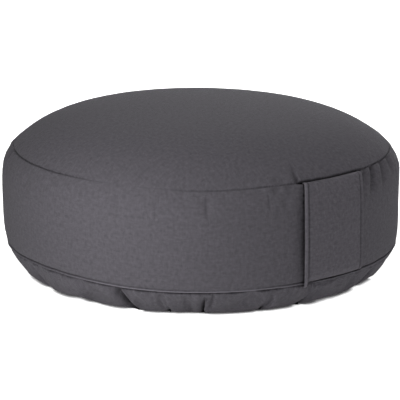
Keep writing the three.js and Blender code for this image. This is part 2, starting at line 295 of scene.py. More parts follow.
def cover_outline(points=240):
    """The section's radius and height, closely spaced from the middle of the base to the middle of the dome,
    with the indices of the base's edge and the two seams."""
    share = np.linspace(0, 1, points)
    base = (share * BASE_RADIUS, 0 * share)
    climb = share ** 2
    underside_growth = (BOTTOM_SEAM_RADIUS - BASE_RADIUS) * climb ** UNDERSIDE_POWER
    underside = (BASE_RADIUS + underside_growth, climb * BOTTOM_SEAM_HEIGHT)
    height = BOTTOM_SEAM_HEIGHT + share * WALL_HEIGHT
    up = np.clip((height - WIDEST_HEIGHT) / (TOP_SEAM_HEIGHT - WIDEST_HEIGHT), 0, 1)
    down = np.clip((WIDEST_HEIGHT - height) / (WIDEST_HEIGHT - BOTTOM_SEAM_HEIGHT), 0, 1)
    draw_in = (TOP_SEAM_RADIUS - WIDEST_RADIUS) * up ** UPPER_WALL_POWER
    tuck_in = (BOTTOM_SEAM_RADIUS - WIDEST_RADIUS) * down ** LOWER_WALL_POWER
    wall = (WIDEST_RADIUS + draw_in + tuck_in, height)
    out = 1 - share
    fall = DOME_BOWL_SHARE * out ** 2 + (1 - DOME_BOWL_SHARE) * out ** DOME_SHOULDER_POWER
    dome = (TOP_SEAM_RADIUS * out, TOP_SEAM_HEIGHT + DOME_RISE * (1 - fall))
    radius, height = (np.concatenate(part) for part in zip(base, underside, wall, dome))
    return radius, height, points - 1, 2 * points - 1, 3 * points - 1


OUTLINE_RADIUS, OUTLINE_HEIGHT, BASE_EDGE, BOTTOM_SEAM, TOP_SEAM = cover_outline()
OUTLINE_STEPS = np.hypot(np.diff(OUTLINE_RADIUS), np.diff(OUTLINE_HEIGHT))
OUTLINE_ALONG = np.concatenate([[0], np.cumsum(OUTLINE_STEPS)])
OUTLINE_ALONG -= OUTLINE_ALONG[BOTTOM_SEAM]
UNDERSIDE_LENGTH = -OUTLINE_ALONG[BASE_EDGE]
WALL_LENGTH = OUTLINE_ALONG[TOP_SEAM]
DOME_LENGTH = OUTLINE_ALONG[-1] - WALL_LENGTH


def section_at(along):
    """Radius and height at a place along the section."""
    return np.interp(along, OUTLINE_ALONG, OUTLINE_RADIUS), np.interp(along, OUTLINE_ALONG, OUTLINE_HEIGHT)


def section_normal(along, step=1.5 * MM):
    """The way out of the cloth at a place on the section: outwards and upwards."""
    low_radius, low_height = section_at(along - step)
    high_radius, high_height = section_at(along + step)
    run, rise = high_radius - low_radius, high_height - low_height
    length = np.maximum(np.hypot(run, rise), 1e-9)
    return rise / length, -run / length


def section_rows():
    """Places of the rows of faces, close together beside the seams."""
    last = SEAM_ROW_OFFSETS[-1]
    base = -UNDERSIDE_LENGTH - BASE_RADIUS * (1 - np.linspace(0, 1, BASE_ROWS)[:-1] ** BASE_ROW_POWER)
    underside = np.linspace(-UNDERSIDE_LENGTH, -last, UNDERSIDE_ROWS)
    wall = np.linspace(last, WALL_LENGTH - last, WALL_ROWS)
    dome = WALL_LENGTH + last + (DOME_LENGTH - last) * np.linspace(0, 1, DOME_ROWS) ** DOME_ROW_POWER
    bottom_seam = np.concatenate([-SEAM_ROW_OFFSETS[1:-1], SEAM_ROW_OFFSETS[:-1]])
    top_seam = WALL_LENGTH + bottom_seam
    return np.sort(np.concatenate([base, underside, bottom_seam, wall, top_seam, dome]))


# Shaping, on arrays of points

def polar(points):
    """Bearing and radius of points about the upright axis."""
    return np.degrees(np.arctan2(points[:, 0], -points[:, 1])), np.hypot(points[:, 0], points[:, 1])


def from_polar(bearing, radius, height):
    angle = np.radians(bearing)
    return np.stack([radius * np.sin(angle), -radius * np.cos(angle), height], axis=-1)


def uneven_point(bearing, along, proud=0.0):
    """A point of the slowly uneven cover, before it leans, standing proud of the cloth by a distance."""
    radius, height = section_at(along)
    out, up = section_normal(along)
    lift_share = np.minimum(height / BOTTOM_SEAM_HEIGHT, (TOP_SEAM_HEIGHT - height) / WALL_HEIGHT)
    lift = round_the_cover(UNEVENNESS, "seam_lift", bearing) * MM * np.clip(lift_share, 0, 1)
    sag_share = np.minimum((height - BOTTOM_SEAM_HEIGHT) / WALL_HEIGHT, (TOP_HEIGHT - height) / DOME_RISE)
    sag = TOP_SEAM_SAG * bell(turn(TOP_SAG_BEARING, bearing) / TOP_SAG_REACH)
    lift -= sag * np.clip(sag_share, 0, 1) ** 2
    wall_reach = bell((height - WALL_SWELL_HEIGHT) / WALL_SWELL_REACH)
    wall = round_the_cover(UNEVENNESS, "wall", bearing) * MM * wall_reach
    shoulder_reach = bell((height - TOP_SEAM_HEIGHT) / SHOULDER_SWELL_REACH)
    shoulder = round_the_cover(UNEVENNESS, "shoulder", bearing) * MM * shoulder_reach
    in_dome = np.where(along > WALL_LENGTH, radius / TOP_SEAM_RADIUS, 1)
    on_floor = np.where(along < 0, height / BOTTOM_SEAM_HEIGHT, 1)
    swell = (wall + shoulder) * in_dome * on_floor
    base = round_the_cover(UNEVENNESS, "base", bearing) * MM * radius / BASE_RADIUS
    base_reach = np.clip(1 - height / BOTTOM_SEAM_HEIGHT, 0, 1) ** BASE_DRAW_POWER
    swell += np.where(along < 0, base * base_reach, 0)
    return from_polar(bearing, radius + swell + proud * out, height + lift + proud * up)


def leaning(points):
    """The points of a piece, leaning and tilted as the filled cover does."""
    bearing, radius = polar(points)
    share = points[:, 2] / TOP_HEIGHT
    downhill = radius / WIDEST_RADIUS * np.cos(np.radians(bearing - TILT_BEARING))
    moved = points.copy()
    moved[:, 0] += LEAN_X * share
    moved[:, 1] += LEAN_Y * share
    moved[:, 2] -= TILT_DROP * share * downhill
    return moved


def points_of(mesh):
    points = np.empty(len(mesh.vertices) * 3)
    mesh.vertices.foreach_get("co", points)
    return points.reshape(-1, 3)


def set_points(mesh, points):
    mesh.vertices.foreach_set("co", points.astype(np.float32).ravel())
    mesh.update()


def kept_value(mesh, name):
    """A value that each point of the cover keeps from when it was made."""
    values = np.empty(len(mesh.vertices), np.float32)
    mesh.attributes[name].data.foreach_get("value", values)
    return values.astype(float)


def place_on_cloth(mesh):
    """Where each point of the cover lies on the cloth: along the section, and its bearing when made."""
    bearing = np.degrees(np.arctan2(kept_value(mesh, "sine"), kept_value(mesh, "cosine")))
    return kept_value(mesh, "along"), bearing


# Relief of the cover: how far the cloth stands out from its smooth form

def sewn_in(bearing):
    """1 where the strap's ends are sewn into the seams, and 0 clear of them."""
    from_left = smooth(SEWN_IN_LEFT - SEWN_IN_FADE, SEWN_IN_LEFT, bearing)
    return from_left * (1 - smooth(SEWN_IN_RIGHT, SEWN_IN_RIGHT + SEWN_IN_FADE, bearing))


def seam_grooves(along, bearing):
    """How deep the grooves at the seams are."""
    from_top = along - WALL_LENGTH
    strap_end = sewn_in(bearing)
    top = round_the_cover(SEAM_DEPTHS, "top", bearing) * MM * bell(from_top / TOP_GROOVE_HALF_WIDTH)
    top += strap_end * SEWN_IN_TOP * bell(from_top / SEWN_IN_TOP_HALF_WIDTH)
    above = round_the_cover(SEAM_DEPTHS, "above", bearing) * MM + strap_end * SEWN_IN_ABOVE
    above *= bell((along - EDGE_GROOVE_OFFSET) / EDGE_GROOVE_HALF_WIDTH)
    below = round_the_cover(SEAM_DEPTHS, "below", bearing) * MM
    below *= bell((along + UNDER_GROOVE_OFFSET) / UNDER_GROOVE_HALF_WIDTH)
    return top + above + below


def seam_relief(along, bearing):
    return EDGE_PROUD * bell(along / EDGE_HALF_WIDTH) - seam_grooves(along, bearing)


def gather_growth(gather, along):
    """How far a gather has opened, from 0 at the seam to 1 near the floor."""
    down = np.clip(-along / UNDERSIDE_LENGTH, 0, 1)
    opened = smooth(gather.opens, GATHER_FULL_SHARE, down)
    opened *= 1 - smooth(gather.closes - GATHER_CLOSING_SHARE, gather.closes, down)
    on_base = smooth(0, GATHER_BASE_FADE, -along - UNDERSIDE_LENGTH)
    return opened * smooth(0, GATHER_SEAM_START, -along) * (1 - on_base)


def gather_section(gather, bearing):
    """The form across a gather: it rolls over from 0 to -1 on its gentle side, and comes up to its lip."""
    across = turn(gather.bearing, bearing) * math.copysign(1, gather.steep)
    steep = abs(gather.steep)
    roll = np.clip(1 + across / gather.gentle, 0, 1)
    rolling = (np.sqrt(1 - GATHER_ROLL_FULLNESS * roll ** 2) - 1) / GATHER_ROLL_FALL
    falling = 0.5 * rolling - 0.5 * smooth(0, 1, roll)
    rising = -1 + (1 + gather.lip) * smooth(0, steep, across)
    settling = gather.lip * bell((across - steep) / gather.gentle)
    return np.where(across <= 0, falling, np.where(across < steep, rising, settling))


def gather_depth(along, bearing):
    """How deep the cloth lies in the gathers. Swells are negative."""
    return -sum(gather.depth * MM * gather_growth(gather, along) * gather_section(gather, bearing)
                for gather in GATHERS)


def gather_relief(along, bearing):
    """How far the gathers draw the cloth straight in. On the floor the cloth of the base closes them."""
    depth = gather_depth(along, bearing)
    from_floor = along + UNDERSIDE_LENGTH
    shelf = GATHER_SHELF * np.clip(depth / GATHER_SHELF_DEPTH, 0, 1)
    shelf *= bell(from_floor / GATHER_SHELF_REACH)
    return shelf - depth * smooth(0, GATHER_FLOOR_RISE, from_floor)


def gather_turn(along, bearing):
    """How far the cloth turns round the cover, in degrees, where a gather slants and its lip leans over."""
    down = np.clip(-along / UNDERSIDE_LENGTH, 0, 1)
    total = np.zeros_like(along)
    for gather in GATHERS:
        side = math.copysign(1, gather.steep)
        across = turn(gather.bearing, bearing) * side
        total += gather.slant * down * bell(across / GATHER_SLANT_REACH)
        steep = abs(gather.steep)
        lip = smooth(LIP_START_SHARE * steep, steep, across)
        lip *= 1 - smooth(steep, steep + LIP_FADE_WIDTHS * gather.gentle, across)
        total -= side * gather.lean * gather_growth(gather, along) * lip
    return total


def pucker_relief(puckers, from_seam, bearing):
    """How far the cloth stands out at the puckers on one side of the top seam."""
    total = np.zeros_like(from_seam)
    for pucker in puckers:
        reach = pucker.reach * MM
        share = np.clip(from_seam / reach, 0, 1)
        fade = smooth(0, PUCKER_START, from_seam) * (1 - smooth(PUCKER_FADE_SHARE, 1, share))
        across = turn(pucker.bearing + pucker.drift * share, bearing) / pucker.half_width
        swell = PUCKER_SWELL * bell((np.abs(across) - PUCKER_SWELL_PLACE) / PUCKER_SWELL_HALF_WIDTH)
        total += pucker.depth * MM * fade * (swell - bell(across))
    return np.where(from_seam > 0, total, 0)


def ripple_relief(points, along):
    """Small unevenness of the cloth, strongest beside the seams."""
    near_seam = bell(along / RIPPLE_SEAM_REACH) + bell((along - WALL_LENGTH) / RIPPLE_SEAM_REACH)
    ripple = np.array([noise.noise(Vector(point) * RIPPLES_PER_METRE) for point in points])
    return (RIPPLE_DEPTH + RIPPLE_SEAM_DEPTH * np.minimum(near_seam, 1)) * ripple


# The filled cover

def column_bearings():
    """The bearings of the cover's columns, from -180."""
    bearing = np.linspace(-180, 180, BEARING_SAMPLES)
    crowding = np.ones(BEARING_SAMPLES)
    for gather in GATHERS:
        nearness = bell(turn(gather.bearing, bearing) / CROWDING_REACH)
        crowding += COLUMN_CROWDING * max(gather.depth, 0) * nearness
    count = np.cumsum(crowding) - crowding[0]
    return np.interp(np.arange(COLUMNS) / COLUMNS * count[-1], count, bearing)


def wrapped_cover():
    """The smooth cover: a grid wrapped round its section. Each point keeps its place along it and its
    bearing."""
    form = bmesh.new()
    rows = section_rows()
    last_row = len(rows) - 1
    bmesh.ops.create_grid(form, x_segments=COLUMNS, y_segments=last_row, size=0.5)
    grid = np.array([vertex.co for vertex in form.verts]) + 0.5
    along = rows[np.rint(grid[:, 1] * last_row).astype(int)]
    bearing = column_bearings()[np.rint(grid[:, 0] * COLUMNS).astype(int) % COLUMNS]
    angle = np.radians(bearing)
    kept = [form.verts.layers.float.new(name) for name in ("along", "sine", "cosine")]
    smooth_form = from_polar(bearing, *section_at(along))
    for vertex, point, *values in zip(form.verts, smooth_form, along, np.sin(angle), np.cos(angle)):
        vertex.co = point
        for layer, value in zip(kept, values):
            vertex[layer] = value
    bmesh.ops.remove_doubles(form, verts=form.verts[:], dist=WELD_DISTANCE)
    bmesh.ops.recalc_face_normals(form, faces=form.faces[:])
    cover = piece_from("cushion_cover", form)
    along, bearing = place_on_cloth(cover.data)
    set_points(cover.data, uneven_point(bearing, along))
    return cover


def weigh(cover, name, weights):
    """A named group of the cover's points, with a weight for each."""
    group = cover.vertex_groups.new(name=name)
    for index, weight in enumerate(np.clip(weights, 0, 1)):
        group.add([index], float(weight), "REPLACE")


def at_same_girth(move, along, points):
    """The points' movement without what is common to a row, so that each row keeps its girth and height."""
    out = points * (1, 1, 0) / np.maximum(polar(points)[1], MM)[:, None]
    _, row = np.unique(along.round(6), return_inverse=True)
    count = np.bincount(row)
    row_out = np.bincount(row, np.sum(move * out, axis=1)) / count
    row_up = np.bincount(row, move[:, 2]) / count
    return move - row_out[row, None] * out - row_up[row, None] * (0, 0, 1)


def fill(cover):
    """The filling: presses the cloth outwards between its sewn rows. The underside and the top of the side
    band have a little spare cloth to crease, and the rest is taut. The top panel stays almost smooth, and the
    edge of the base stays on the floor."""
    along, _ = place_on_cloth(cover.data)
    from_seam = np.minimum(np.abs(along), np.abs(along - WALL_LENGTH))
    on_floor = smooth(0, FLOOR_HOLD_REACH, -along - UNDERSIDE_LENGTH)
    weigh(cover, "sewn_rows", np.maximum(1 - smooth(SEWN_HALF_WIDTH, SEWN_ROW_REACH, from_seam), on_floor))
    underside = smooth(-LOOSE_BASE_REACH, 0, along + UNDERSIDE_LENGTH)
    underside *= 1 - smooth(-LOOSE_SEAM_REACH, 0, along)
    band_top = LOOSE_BAND * bell((along - WALL_LENGTH + LOOSE_BAND_DROP) / LOOSE_BAND_HALF_WIDTH)
    weigh(cover, "taut_cloth", 1 - underside - band_top)
    before = points_of(cover.data)
    cloth = cover.modifiers.new("filling", "CLOTH")
    settings = cloth.settings
    settings.quality = CLOTH_STEPS
    settings.mass = CLOTH_MASS
    settings.tension_stiffness = settings.compression_stiffness = STRETCH_STIFFNESS
    settings.shear_stiffness = SHEAR_STIFFNESS
    settings.bending_stiffness = BENDING_STIFFNESS
    settings.use_pressure = True
    settings.uniform_pressure_force = FILLING_PRESSURE
    settings.vertex_group_mass = "sewn_rows"
    settings.vertex_group_shrink = "taut_cloth"
    settings.shrink_max = 0.0
    settings.shrink_min = -SPARE_CLOTH
    settings.effector_weights.gravity = 0
    cloth.point_cache.frame_start, cloth.point_cache.frame_end = 1, FILLING_FRAMES
    scene = bpy.context.scene
    for step in range(1, FILLING_FRAMES + 1):
        scene.frame_set(step)
    graph = bpy.context.evaluated_depsgraph_get()
    move = points_of(cover.evaluated_get(graph).data) - before
    cover.modifiers.remove(cloth)
    scene.frame_set(1)
    length = np.linalg.norm(move, axis=1, keepdims=True)
    move *= np.minimum(1, FILLING_REACH / np.maximum(length, 1e-9))
    give = 1 - (1 - TOP_PANEL_GIVE) * smooth(0, TOP_PANEL_EDGE, along - WALL_LENGTH)
    give *= smooth(-FLOOR_EDGE_INSET, FLOOR_EDGE_REACH, along + UNDERSIDE_LENGTH)
    set_points(cover.data, before + give[:, None] * at_same_girth(move, along, before))


def subdivide(mesh):
    """One subdivision of the cover."""
    form = bmesh.new()
    form.from_mesh(mesh)
    bmesh.ops.subdivide_edges(form, edges=form.edges[:], cuts=1, use_grid_fill=True)
    form.to_mesh(mesh)
    form.free()


def crease(mesh, share):
    """Presses a share of the gathers, puckers and small unevenness into the cloth. Gathers go straight in,
    and the rest goes along the way out of the cloth."""
    along, bearing = place_on_cloth(mesh)
    points = points_of(mesh)
    now_bearing, radius = polar(points)
    gathered = gather_relief(along, bearing)
    relief = pucker_relief(WALL_PUCKERS, WALL_LENGTH - along, bearing)
    relief += pucker_relief(DOME_CREASES, along - WALL_LENGTH, bearing)
    relief += ripple_relief(points, along) * smooth(-UNDERSIDE_LENGTH, -0.5 * UNDERSIDE_LENGTH, along)
    out, up = section_normal(along)
    slanted = now_bearing + share * gather_turn(along, bearing)
    creased = radius + share * (relief * out + gathered)
    set_points(mesh, from_polar(slanted, creased, points[:, 2] + share * relief * up))


def sew(mesh):
    """Draws in the seams, sets the lean of the cover, and lays it on the floor."""
    along, bearing = place_on_cloth(mesh)
    points = points_of(mesh)
    now_bearing, radius = polar(points)
    relief = seam_relief(along, bearing)
    out, up = section_normal(along)
    moved = leaning(from_polar(now_bearing, radius + relief * out, points[:, 2] + relief * up))
    moved[:, 2] = np.maximum(moved[:, 2], 0)
    set_points(mesh, moved)
    mesh.polygons.foreach_set("use_smooth", [True] * len(mesh.polygons))


def keep_wear_and_painted_light(mesh, amounts):
    """Keeps on each point how much paler or darker the cloth is there, from wear, painted highlights and
    painted shade.
    """
    worn = mesh.attributes.new("worn", "FLOAT", "POINT")
    worn.data.foreach_set("value", amounts.astype(np.float32))


def paint_cover_light_and_wear(mesh):
    """The turned edge at the bottom seam is paler, partly from wear and partly as a painted highlight, and
    the backs of the swells get a painted highlight. Painted shade darkens the cloth deep in the gathers, in
    the seam grooves and puckers, and under the strap."""
    along, bearing = place_on_cloth(mesh)
    puckered = -pucker_relief(WALL_PUCKERS, WALL_LENGTH - along, bearing)
    puckered -= pucker_relief(DOME_CREASES, along - WALL_LENGTH, bearing)
    on_wall = np.clip(along, 0, WALL_LENGTH)
    left, right = strap_bearing(-1, on_wall), strap_bearing(1, on_wall)
    # Painted shade: the wall under the strap, from just inside its left edge to just past its right edge, is
    # darkened as the strap's shadow
    behind_strap = smooth(left, left + SLIT_EDGE, bearing)
    behind_strap *= 1 - smooth(right, right + SLIT_EDGE, bearing)
    gathered = gather_depth(along, bearing)
    # Painted shade: the darkest of the gathers, seam grooves, puckers and the slit under the strap
    painted_shade = np.max([
        # Painted shade deep in the gathers
        GATHER_PAINTED_SHADE * np.clip(gathered / DARK_GATHER_DEPTH, 0, 1) ** GATHER_SHADE_POWER,
        # Painted shade in the seam grooves
        SEAM_PAINTED_SHADE * np.clip(seam_grooves(along, bearing) / DARK_SEAM_DEPTH, 0, 1),
        # Painted shade in the puckers and creases
        PUCKER_PAINTED_SHADE * np.clip(puckered / DARK_PUCKER_DEPTH, 0, 1),
        SLIT_PAINTED_SHADE * behind_strap * (along > 0) * (along < WALL_LENGTH),
    ], axis=0)
    # The turned edge at the bottom seam is paler, partly from wear and partly as a painted highlight
    worn = round_the_cover(SEAM_DEPTHS, "worn", bearing) * bell(along / EDGE_HALF_WIDTH)
    # Painted highlight on the swells of the underside
    worn += SWELL_HIGHLIGHT * np.clip(-gathered / HIGHLIT_SWELL_HEIGHT, 0, 1) ** SWELL_HIGHLIGHT_POWER
    keep_wear_and_painted_light(mesh, worn - painted_shade)


def lay_out_cloth(mesh):
    """A flat layout of the cover's three panels in metres: the side band unrolled, the top and the underside
    as seen from above."""
    layout = mesh.uv_layers.new(name="cloth")
    along, bearing = place_on_cloth(mesh)
    points = points_of(mesh)
    corner = np.empty(len(mesh.loops), int)
    mesh.loops.foreach_get("vertex_index", corner)
    start = np.empty(len(mesh.polygons), int)
    total = np.empty(len(mesh.polygons), int)
    mesh.polygons.foreach_get("loop_start", start)
    mesh.polygons.foreach_get("loop_total", total)
    first = np.repeat(corner[start], total)
    middle = np.repeat(np.add.reduceat(along[corner], start) / total, total)
    around = bearing[first] + turn(bearing[first], bearing[corner])
    band = np.stack([np.radians(around) * WIDEST_RADIUS, along[corner]], axis=-1)
    flat = points[corner][:, :2]
    on_band = (middle > 0) & (middle < WALL_LENGTH)
    layout.data.foreach_set("uv", np.where(on_band[:, None], band, flat).astype(np.float32).ravel())


def filled_cover():
    """The whole cover: wrapped round its section, creased, filled, creased again and sewn."""
    cover = wrapped_cover()
    crease(cover.data, CREASED_BEFORE_FILLING)
    fill(cover)
    subdivide(cover.data)
    crease(cover.data, 1 - CREASED_BEFORE_FILLING)
    sew(cover.data)
    paint_cover_light_and_wear(cover.data)
    lay_out_cloth(cover.data)
    return cover


# The carry strap

def strap_bearing(across, along):
    """The bearing of a place on the strap, from its left edge at -1 to its right edge at 1."""
    drawn_in = (WIDEST_RADIUS - section_at(along)[0]) / MM
    left, right = (edge.bearing + edge.turn * drawn_in for edge in (STRAP_LEFT, STRAP_RIGHT))
    return left + (right - left) * (across + 1) / 2


def strap_face(from_edge):
    """How far the strap's outer face stands over its middle part: up on the folded rims, and down at the
    stitches."""
    rim = RIM_PROUD * (1 - smooth(RIM_STEP_START, RIM_STEP_END, from_edge))
    groove = STITCH_SINK * bell((from_edge - STITCH_INSET) / STITCH_GROOVE_HALF_WIDTH)
    return rim - groove


def strap_point(across, share_up, depth):
    """A place in the strap: across from -1 to 1, a share of the way up it, and outwards from its middle. The
    top end is tucked into the seam, and the left rim's lower tip reaches past the bottom seam."""
    bow = STRAP_BOW * np.clip(np.sin(np.pi * share_up), 0, 1) ** STRAP_BOW_POWER
    bow *= 1 - STRAP_BOW_TWIST * across
    from_left = (1 + across) * STRAP_WIDTH / 2
    tip = RIM_TIP_DROP * (1 - smooth(RIM_TIP_START, RIM_TIP_END, from_left)) * (1 - share_up) ** RIM_TIP_POWER
    length = WALL_LENGTH - STRAP_BOTTOM_GAP - STRAP_TOP_GAP
    along = STRAP_BOTTOM_GAP + share_up * length - tip
    from_top = (1 - share_up) * length
    from_end = np.minimum(share_up * length, from_top)
    squeeze = 1 - STRAP_END_SQUEEZE * (1 - smooth(0, STRAP_END_REACH, from_end))
    tuck = STRAP_TUCK * (1 - smooth(0, STRAP_TUCK_REACH, from_top))
    proud = STRAP_CLEARANCE + bow - tuck + squeeze * (STRAP_THICKNESS / 2 + depth)
    return uneven_point(strap_bearing(across, along), along, proud)


def strap_section(share_round):
    """Across and outwards at a share of the way round the strap's section, which has two flat faces and two
    round edges."""
    edge_radius = STRAP_THICKNESS / 2
    flat = STRAP_WIDTH - 2 * edge_radius
    bend = math.pi * edge_radius
    place = share_round * 2 * (flat + bend)
    angle = np.clip((place - flat) / edge_radius, 0, math.pi)
    back_angle = np.clip((place - 2 * flat - bend) / edge_radius, 0, math.pi)
    run = np.clip(place, 0, flat) - np.clip(place - flat - bend, 0, flat)
    across = run - flat / 2 + edge_radius * (np.sin(angle) - np.sin(back_angle))
    depth = edge_radius * np.where(place > 2 * flat + bend, -np.cos(back_angle), np.cos(angle))
    across_share = across / (STRAP_WIDTH / 2)
    outer = smooth(STRAP_FACE_START, 1, depth / edge_radius)
    return across_share, depth + outer * strap_face((1 - np.abs(across_share)) * STRAP_WIDTH / 2)


def carry_strap():
    """The strap: a grid wrapped round its section, with its ends closed. Its left rim gets a painted
    highlight on the outer face, and its stitch grooves painted shade.
    """
    form = bmesh.new()
    bmesh.ops.create_grid(form, x_segments=STRAP_AROUND, y_segments=STRAP_ROWS, size=0.5)
    grid = np.array([vertex.co for vertex in form.verts]) + 0.5
    across, depth = strap_section(grid[:, 0])
    placed = leaning(strap_point(across, grid[:, 1], depth))
    from_edge = (1 - np.abs(across)) * STRAP_WIDTH / 2
    # Painted highlight on the outer face of the left rim, the side the light comes from
    rim_painted_light = RIM_HIGHLIGHT * bell((from_edge - RIM_HIGHLIGHT_INSET) / RIM_HIGHLIGHT_HALF_WIDTH)
    rim_painted_light *= (depth > 0) * (1 - across) / 2
    # Painted shade along the stitch grooves
    rim_painted_light -= STITCH_PAINTED_SHADE * bell((from_edge - STITCH_INSET) / STITCH_GROOVE_HALF_WIDTH)
    worn = form.verts.layers.float.new("worn")
    for vertex, point, amount in zip(form.verts, placed, rim_painted_light):
        vertex.co = point
        vertex[worn] = amount
    bmesh.ops.remove_doubles(form, verts=form.verts[:], dist=WELD_DISTANCE)
    bmesh.ops.holes_fill(form, edges=[edge for edge in form.edges if edge.is_boundary], sides=0)
    bmesh.ops.recalc_face_normals(form, faces=form.faces[:])
    layout = form.loops.layers.uv.new("cloth")
    for face in form.faces:
        face.smooth = True
        for loop in face.loops:
            angle = math.atan2(loop.vert.co.x, -loop.vert.co.y)
            loop[layout].uv = (angle * WIDEST_RADIUS, loop.vert.co.z)
    return piece_from("carry_strap", form)


def strap_stitches():
    """Rows of thread along the two rims, each stitch a small stretched bead lying in its groove."""
    form = bmesh.new()
    edge = 1 - STITCH_INSET / (STRAP_WIDTH / 2)
    depth = STRAP_THICKNESS / 2 - STITCH_SINK + 0.5 * STITCH_RADIUS
    count = int((WALL_LENGTH - 2 * STITCH_PITCH) / STITCH_PITCH)
    half_share = STITCH_LENGTH / WALL_LENGTH / 2
    for across in (-edge, edge):
        for index in range(count):
            share_up = (index + 1.5) * STITCH_PITCH / WALL_LENGTH
            shares = np.array([share_up - half_share, share_up, share_up + half_share])
            low, middle, high = leaning(strap_point(np.full(3, across), shares, np.full(3, depth)))
            turned = Vector(high - low).to_track_quat("Z", "Y").to_matrix().to_4x4()
            stretch = Matrix.Diagonal((STITCH_RADIUS, STITCH_RADIUS, STITCH_LENGTH / 2, 1))
            bmesh.ops.create_icosphere(form, subdivisions=2, radius=1,
                                       matrix=Matrix.Translation(middle) @ turned @ stretch)
    for face in form.faces:
        face.smooth = True
    return piece_from("strap_stitches", form)


# Finishes

def arithmetic(tree, operation, first, second=None, clamp=False):
    """A Math node, whose inputs are sockets or plain numbers."""
    node = tree.nodes.new("ShaderNodeMath")
    node.operation, node.use_clamp = operation, clamp
    for socket, value in zip(node.inputs, (first, second)):
        if isinstance(value, bpy.types.NodeSocket):
            tree.links.new(value, socket)
        elif value is not None:
            socket.default_value = value
    return node.outputs["Value"]


def thread_turn(tree, place):
    """A wave that crosses 0 between one thread and the next."""
    return arithmetic(tree, "SINE", arithmetic(tree, "MULTIPLY", place, math.pi))


def stretched_noise(tree, place, stretch, detail):
    """Noise whose grains are longer along one thread direction than the other, from 0 to 1."""
    mapping = tree.nodes.new("ShaderNodeMapping")
    mapping.inputs["Scale"].default_value = stretch
    tree.links.new(place, mapping.inputs["Vector"])
    grain = tree.nodes.new("ShaderNodeTexNoise")
    grain.inputs["Scale"].default_value = 1
    grain.inputs["Detail"].default_value = detail
    grain.inputs["Roughness"].default_value = YARN_GRAIN
    tree.links.new(mapping.outputs["Vector"], grain.inputs["Vector"])
    return grain.outputs["Fac"]


def plain_weave():
    """Canvas in plain weave with uneven yarn: threads pass over and under each other, and thick places in the
    yarn show as short lighter and darker streaks. Place is a point of the flat cloth in metres."""
    tree = bpy.data.node_groups.new("plain_weave", "ShaderNodeTree")
    tree.interface.new_socket("Place", in_out="INPUT", socket_type="NodeSocketVector")
    tree.interface.new_socket("Colour", in_out="INPUT", socket_type="NodeSocketColor")
    for name in ("Thread Pitch", "Yarn Streaks", "Mottling", "Worn"):
        tree.interface.new_socket(name, in_out="INPUT", socket_type="NodeSocketFloat")
    tree.interface.new_socket("Colour", in_out="OUTPUT", socket_type="NodeSocketColor")
    for name in ("Height", "Roughness"):
        tree.interface.new_socket(name, in_out="OUTPUT", socket_type="NodeSocketFloat")
    given = tree.nodes.new("NodeGroupInput").outputs
    made = tree.nodes.new("NodeGroupOutput").inputs

    in_threads = tree.nodes.new("ShaderNodeVectorMath")
    in_threads.operation = "SCALE"
    tree.links.new(given["Place"], in_threads.inputs["Vector"])
    tree.links.new(arithmetic(tree, "DIVIDE", 1.0, given["Thread Pitch"]), in_threads.inputs["Scale"])
    split = tree.nodes.new("ShaderNodeSeparateXYZ")
    tree.links.new(in_threads.outputs["Vector"], split.inputs["Vector"])
    turns = [thread_turn(tree, split.outputs[axis]) for axis in "XY"]
    warp, weft = (arithmetic(tree, "ABSOLUTE", wave) for wave in turns)
    warp_over = arithmetic(tree, "GREATER_THAN", arithmetic(tree, "MULTIPLY", *turns), 0.0)

    heights, streaks = [], []
    for across, along, stretch in ((warp, weft, (1 / YARN_WIDTH, 1 / YARN_STREAK, 1)),
                                   (weft, warp, (1 / YARN_STREAK, 1 / YARN_WIDTH, 1))):
        bow = arithmetic(tree, "ADD", arithmetic(tree, "MULTIPLY", along, THREAD_BOW), 1 - THREAD_BOW)
        heights.append(arithmetic(tree, "MULTIPLY", across, bow))
        streaks.append(stretched_noise(tree, given["Place"], stretch, detail=1))
    choice = []
    for warp_value, weft_value in (heights, streaks):
        pick = tree.nodes.new("ShaderNodeMix")
        tree.links.new(warp_over, pick.inputs["Factor"])
        tree.links.new(weft_value, pick.inputs["A"])
        tree.links.new(warp_value, pick.inputs["B"])
        choice.append(pick.outputs["Result"])
    height, streak = choice

    clouds = stretched_noise(tree, given["Place"], (1 / MOTTLE_SIZE, 1 / MOTTLE_SIZE, 1), detail=3)
    tone = arithmetic(tree, "MULTIPLY", arithmetic(tree, "SUBTRACT", streak, 0.5), given["Yarn Streaks"])
    mottle = arithmetic(tree, "MULTIPLY", arithmetic(tree, "SUBTRACT", clouds, 0.5), given["Mottling"])
    tone = arithmetic(tree, "ADD", arithmetic(tree, "ADD", tone, mottle), given["Worn"])
    # Painted shade: the cloth is darker where the weave lies low and lighter on the thread backs
    painted_weave_shade = arithmetic(tree, "ADD", arithmetic(tree, "MULTIPLY", height, CANVAS_BACK_SHADE), CANVAS_SHADE)
    shade = arithmetic(tree, "MULTIPLY", arithmetic(tree, "ADD", tone, 1.0), painted_weave_shade)
    tinted = tree.nodes.new("ShaderNodeVectorMath")
    tinted.operation = "SCALE"
    tree.links.new(given["Colour"], tinted.inputs["Vector"])
    tree.links.new(shade, tinted.inputs["Scale"])
    tree.links.new(tinted.outputs["Vector"], made["Colour"])
    raised = arithmetic(tree, "MULTIPLY", streak, STREAK_HEIGHT)
    polished = arithmetic(tree, "MULTIPLY", height, CANVAS_BACK_POLISH)
    tree.links.new(arithmetic(tree, "ADD", height, raised), made["Height"])
    tree.links.new(arithmetic(tree, "SUBTRACT", CANVAS_ROUGHNESS, polished), made["Roughness"])
    return tree


